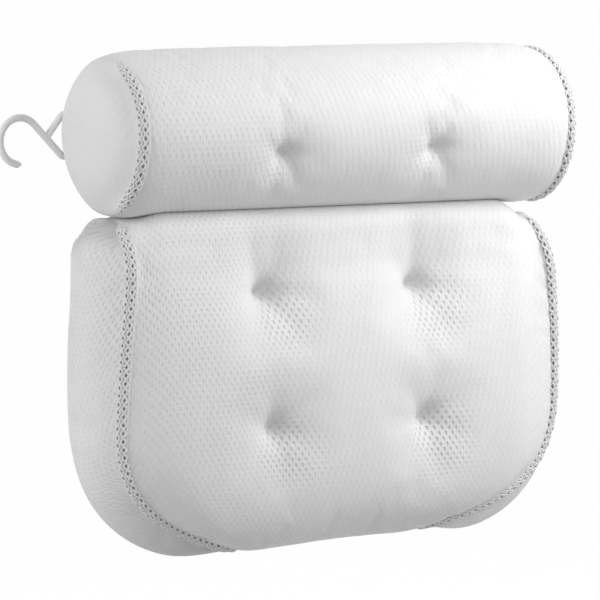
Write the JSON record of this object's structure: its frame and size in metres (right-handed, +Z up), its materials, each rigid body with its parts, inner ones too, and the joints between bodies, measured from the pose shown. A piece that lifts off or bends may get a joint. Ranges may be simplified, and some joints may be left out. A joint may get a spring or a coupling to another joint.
{
  "type": "bath pillow",
  "caption": "Soft bath pillow: a stuffed neck roll hinged above a tufted back panel in white air-mesh, with suction cups behind it and a plastic hook for hanging it up to dry.",
  "frame": {"origin": "on the wall of the tub, in the plane of the suction cups' rims, midway along the roll and at the height of the hinge between roll and panel", "axes": "+X along the roll, to the right as seen by someone facing the pillow; +Y into the wall of the tub; +Z up"},
  "size_m": [0.4545, 0.1274, 0.3663],
  "materials": {
    "air_mesh": "matt white spacer mesh",
    "binding": "matt white open-work tape",
    "fibre": "white polyester fibre",
    "webbing": "matt white woven tape",
    "thread": "white sewing thread",
    "hook_plastic": "smooth white moulding",
    "eyelet_plastic": "satin white moulding",
    "cup_rubber": "soft clear PVC"
  },
  "bodies": {
    "panel": {"panel_front_cover": "air_mesh", "panel_rear_cover": "air_mesh", "panel_filling": "fibre", "panel_gusset_left": "air_mesh", "panel_gusset_right": "air_mesh", "panel_trim_left": "binding", "panel_trim_right": "binding", "hinge_strip": "binding", "panel_tuft_tie_upper_left": "thread", "panel_tuft_tie_upper_right": "thread", "panel_tuft_tie_lower_left": "thread", "panel_tuft_tie_lower_right": "thread", "panel_eyelet_upper_left": "eyelet_plastic", "panel_eyelet_upper_right": "eyelet_plastic", "panel_eyelet_lower_left": "eyelet_plastic", "panel_eyelet_lower_right": "eyelet_plastic"},
    "roll": {"roll_cover": "air_mesh", "roll_filling": "fibre", "roll_end_cap_left": "air_mesh", "roll_end_cap_right": "air_mesh", "roll_trim_left": "binding", "roll_trim_right": "binding", "roll_tuft_tie_left": "thread", "roll_tuft_tie_right": "thread", "roll_eyelet_left": "eyelet_plastic", "roll_eyelet_right": "eyelet_plastic", "hook_loop": "webbing"},
    "hook": {"hook": "hook_plastic"},
    "cup_roll_left": {"roll_cup_left": "cup_rubber"},
    "cup_roll_right": {"roll_cup_right": "cup_rubber"},
    "cup_upper_left": {"panel_cup_upper_left": "cup_rubber"},
    "cup_upper_right": {"panel_cup_upper_right": "cup_rubber"},
    "cup_lower_left": {"panel_cup_lower_left": "cup_rubber"},
    "cup_lower_right": {"panel_cup_lower_right": "cup_rubber"}
  },
  "joints": [
    {"name": "roll_fold", "type": "hinge", "parent": "panel", "child": "roll", "pos_m": [0, -0.0583, 0], "axis": [1, 0, 0], "range_deg": [-30, 0], "stiffness_Nm_per_rad": 0.8},
    {"name": "hook_swing", "type": "hinge", "parent": "roll", "child": "hook", "pos_m": [-0.1836, -0.0085, 0.0571], "axis": [0, 0, -1], "range_deg": [0, 120]},
    {"name": "press_roll_left", "type": "slide", "parent": "roll", "child": "cup_roll_left", "axis": [0, -1, 0], "range_m": [0, 0.003], "stiffness_N_per_m": 300},
    {"name": "press_roll_right", "type": "slide", "parent": "roll", "child": "cup_roll_right", "axis": [0, -1, 0], "range_m": [0, 0.003], "stiffness_N_per_m": 300},
    {"name": "press_upper_left", "type": "slide", "parent": "panel", "child": "cup_upper_left", "axis": [0, -1, 0], "range_m": [0, 0.003], "stiffness_N_per_m": 300},
    {"name": "press_upper_right", "type": "slide", "parent": "panel", "child": "cup_upper_right", "axis": [0, -1, 0], "range_m": [0, 0.003], "stiffness_N_per_m": 300},
    {"name": "press_lower_left", "type": "slide", "parent": "panel", "child": "cup_lower_left", "axis": [0, -1, 0], "range_m": [0, 0.003], "stiffness_N_per_m": 300},
    {"name": "press_lower_right", "type": "slide", "parent": "panel", "child": "cup_lower_right", "axis": [0, -1, 0], "range_m": [0, 0.003], "stiffness_N_per_m": 300}
  ]
}
